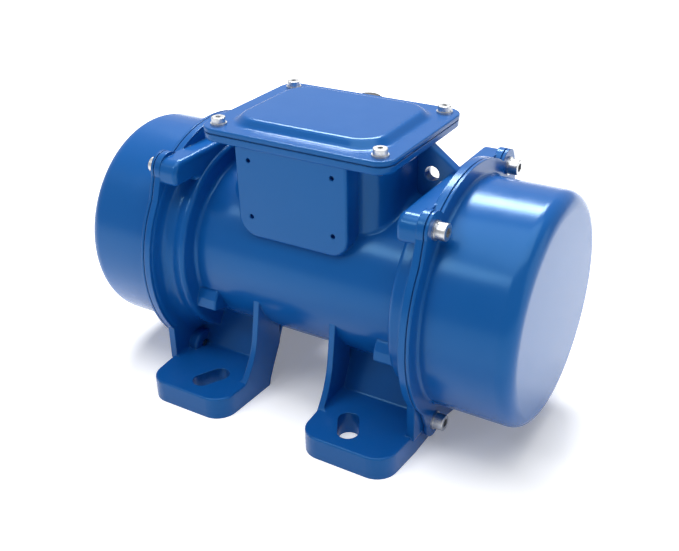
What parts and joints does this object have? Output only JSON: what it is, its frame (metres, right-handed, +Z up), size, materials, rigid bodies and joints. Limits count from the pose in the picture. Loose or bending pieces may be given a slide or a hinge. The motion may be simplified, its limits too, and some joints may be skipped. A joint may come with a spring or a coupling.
{
  "type": "vibration motor",
  "caption": "Foot-mounted electric vibration motor: cast housing with terminal box and splayed-slot feet, cup end covers, and adjustable eccentric weights on both shaft ends.",
  "frame": {"origin": "middle of the motor, on the plane of the feet", "axes": "+X along the rotor shaft, +Z up, -Y towards the nameplate face"},
  "size_m": [0.2976, 0.1892, 0.1811],
  "materials": {
    "blue_paint": "semi-gloss",
    "seal_rubber": "matt",
    "zinc_steel": "bright zinc",
    "black_plastic": "matt",
    "moulded_board": "matt",
    "brass_parts": "bright",
    "core_steel": "laminated",
    "copper_coils": "varnished",
    "ground_steel": "ground",
    "bare_aluminium": "die cast",
    "weight_iron": "phosphated"
  },
  "bodies": {
    "housing": {"housing": "blue_paint", "lid": "blue_paint", "lid_gasket": "seal_rubber", "lid_screws": "zinc_steel", "lid_washers": "zinc_steel", "terminal_board": "moulded_board", "terminal_studs": "brass_parts", "terminal_links": "brass_parts", "terminal_nuts": "brass_parts", "board_screws": "zinc_steel", "earth_screw": "zinc_steel", "gland_body": "black_plastic", "gland_nut": "black_plastic", "gland_insert": "seal_rubber", "gland_ring": "seal_rubber", "stator_core": "core_steel", "stator_windings": "copper_coils", "right_cover": "blue_paint", "left_cover": "blue_paint", "right_cover_seal": "seal_rubber", "left_cover_seal": "seal_rubber", "right_cover_screws": "zinc_steel", "left_cover_screws": "zinc_steel", "right_cover_washers": "zinc_steel", "left_cover_washers": "zinc_steel", "right_bearing_shield": "bare_aluminium", "left_bearing_shield": "bare_aluminium", "right_shield_screws": "zinc_steel", "left_shield_screws": "zinc_steel", "right_bearing_cap": "ground_steel", "left_bearing_cap": "ground_steel", "right_bearing_outer_ring": "ground_steel", "left_bearing_outer_ring": "ground_steel"},
    "rotor": {"shaft": "ground_steel", "rotor_core": "core_steel", "rotor_rings": "bare_aluminium", "right_bearing_inner_ring": "ground_steel", "left_bearing_inner_ring": "ground_steel", "right_inner_weight": "weight_iron", "left_inner_weight": "weight_iron", "right_weight_key": "ground_steel", "left_weight_key": "ground_steel", "right_circlip": "ground_steel", "left_circlip": "ground_steel"},
    "right_adjustable_weight": {"right_outer_weight": "weight_iron", "right_clamp_screw": "zinc_steel"},
    "right_ball_set": {"right_bearing_balls": "ground_steel", "right_bearing_cage": "brass_parts"},
    "left_adjustable_weight": {"left_outer_weight": "weight_iron", "left_clamp_screw": "zinc_steel"},
    "left_ball_set": {"left_bearing_balls": "ground_steel", "left_bearing_cage": "brass_parts"}
  },
  "joints": [
    {"name": "rotor_spin", "type": "hinge", "parent": "housing", "child": "rotor", "pos_m": [0, 0, 0.083], "axis": [1, 0, 0], "continuous": true},
    {"name": "right_weight_setting", "type": "hinge", "parent": "rotor", "child": "right_adjustable_weight", "pos_m": [0.123, 0, 0.083], "axis": [1, 0, 0], "range_deg": [0, 180]},
    {"name": "left_weight_setting", "type": "hinge", "parent": "rotor", "child": "left_adjustable_weight", "pos_m": [-0.123, 0, 0.083], "axis": [1, 0, 0], "range_deg": [0, 180]},
    {"name": "right_ball_set_spin", "type": "hinge", "parent": "housing", "child": "right_ball_set", "pos_m": [0.082, 0, 0.083], "axis": [1, 0, 0], "continuous": true},
    {"name": "left_ball_set_spin", "type": "hinge", "parent": "housing", "child": "left_ball_set", "pos_m": [-0.082, 0, 0.083], "axis": [1, 0, 0], "continuous": true}
  ],
  "couplings": [
    {"joint": "right_ball_set_spin", "follows": "rotor_spin", "ratio": 0.3824},
    {"joint": "left_ball_set_spin", "follows": "rotor_spin", "ratio": 0.3824}
  ]
}
